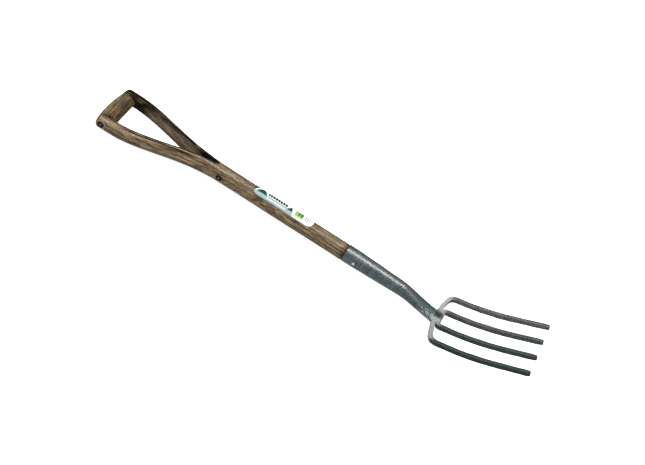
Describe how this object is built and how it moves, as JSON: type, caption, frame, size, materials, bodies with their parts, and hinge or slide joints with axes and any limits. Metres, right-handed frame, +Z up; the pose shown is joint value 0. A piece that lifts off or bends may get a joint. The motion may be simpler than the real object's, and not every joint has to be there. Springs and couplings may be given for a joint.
{
  "type": "digging fork",
  "caption": "Garden digging fork lying on its back: curved tines on a cranked, painted steel socket, and a stained wooden shaft with a D-shaped handle.",
  "frame": {"origin": "on the surface the fork lies on, under the middle of its bounding box", "axes": "+X from the handle's top to the tine tips, +Y across the fork, +Z up; the fork lies on its back on the handle's top and the neck, with the tips curving up"},
  "size_m": [1.0128, 0.167, 0.0877],
  "materials": {
    "stained_ash": "dark brown stain under satin lacquer, open ash grain along the shaft",
    "hammered_enamel": "semi-gloss blue-grey hammered enamel with pale speckles",
    "bright_steel": "plain steel rivet heads, slightly dull",
    "black_steel": "dark oxidised steel",
    "copper": "copper coloured rivet heads, worn pale",
    "printed_label": "printed film sticker in white, greens and pale blue"
  },
  "bodies": {
    "root": {"shaft": "stained_ash", "grip": "stained_ash", "grip_rivet": "bright_steel", "throat_rivet": "bright_steel", "grip_washer_near": "black_steel", "grip_washer_far": "black_steel", "throat_washer_near": "black_steel", "throat_washer_far": "black_steel", "socket": "hammered_enamel", "socket_rivet": "copper", "outer_tines": "hammered_enamel", "inner_tines": "hammered_enamel", "neck_weld": "hammered_enamel", "label": "printed_label"}
  },
  "joints": []
}
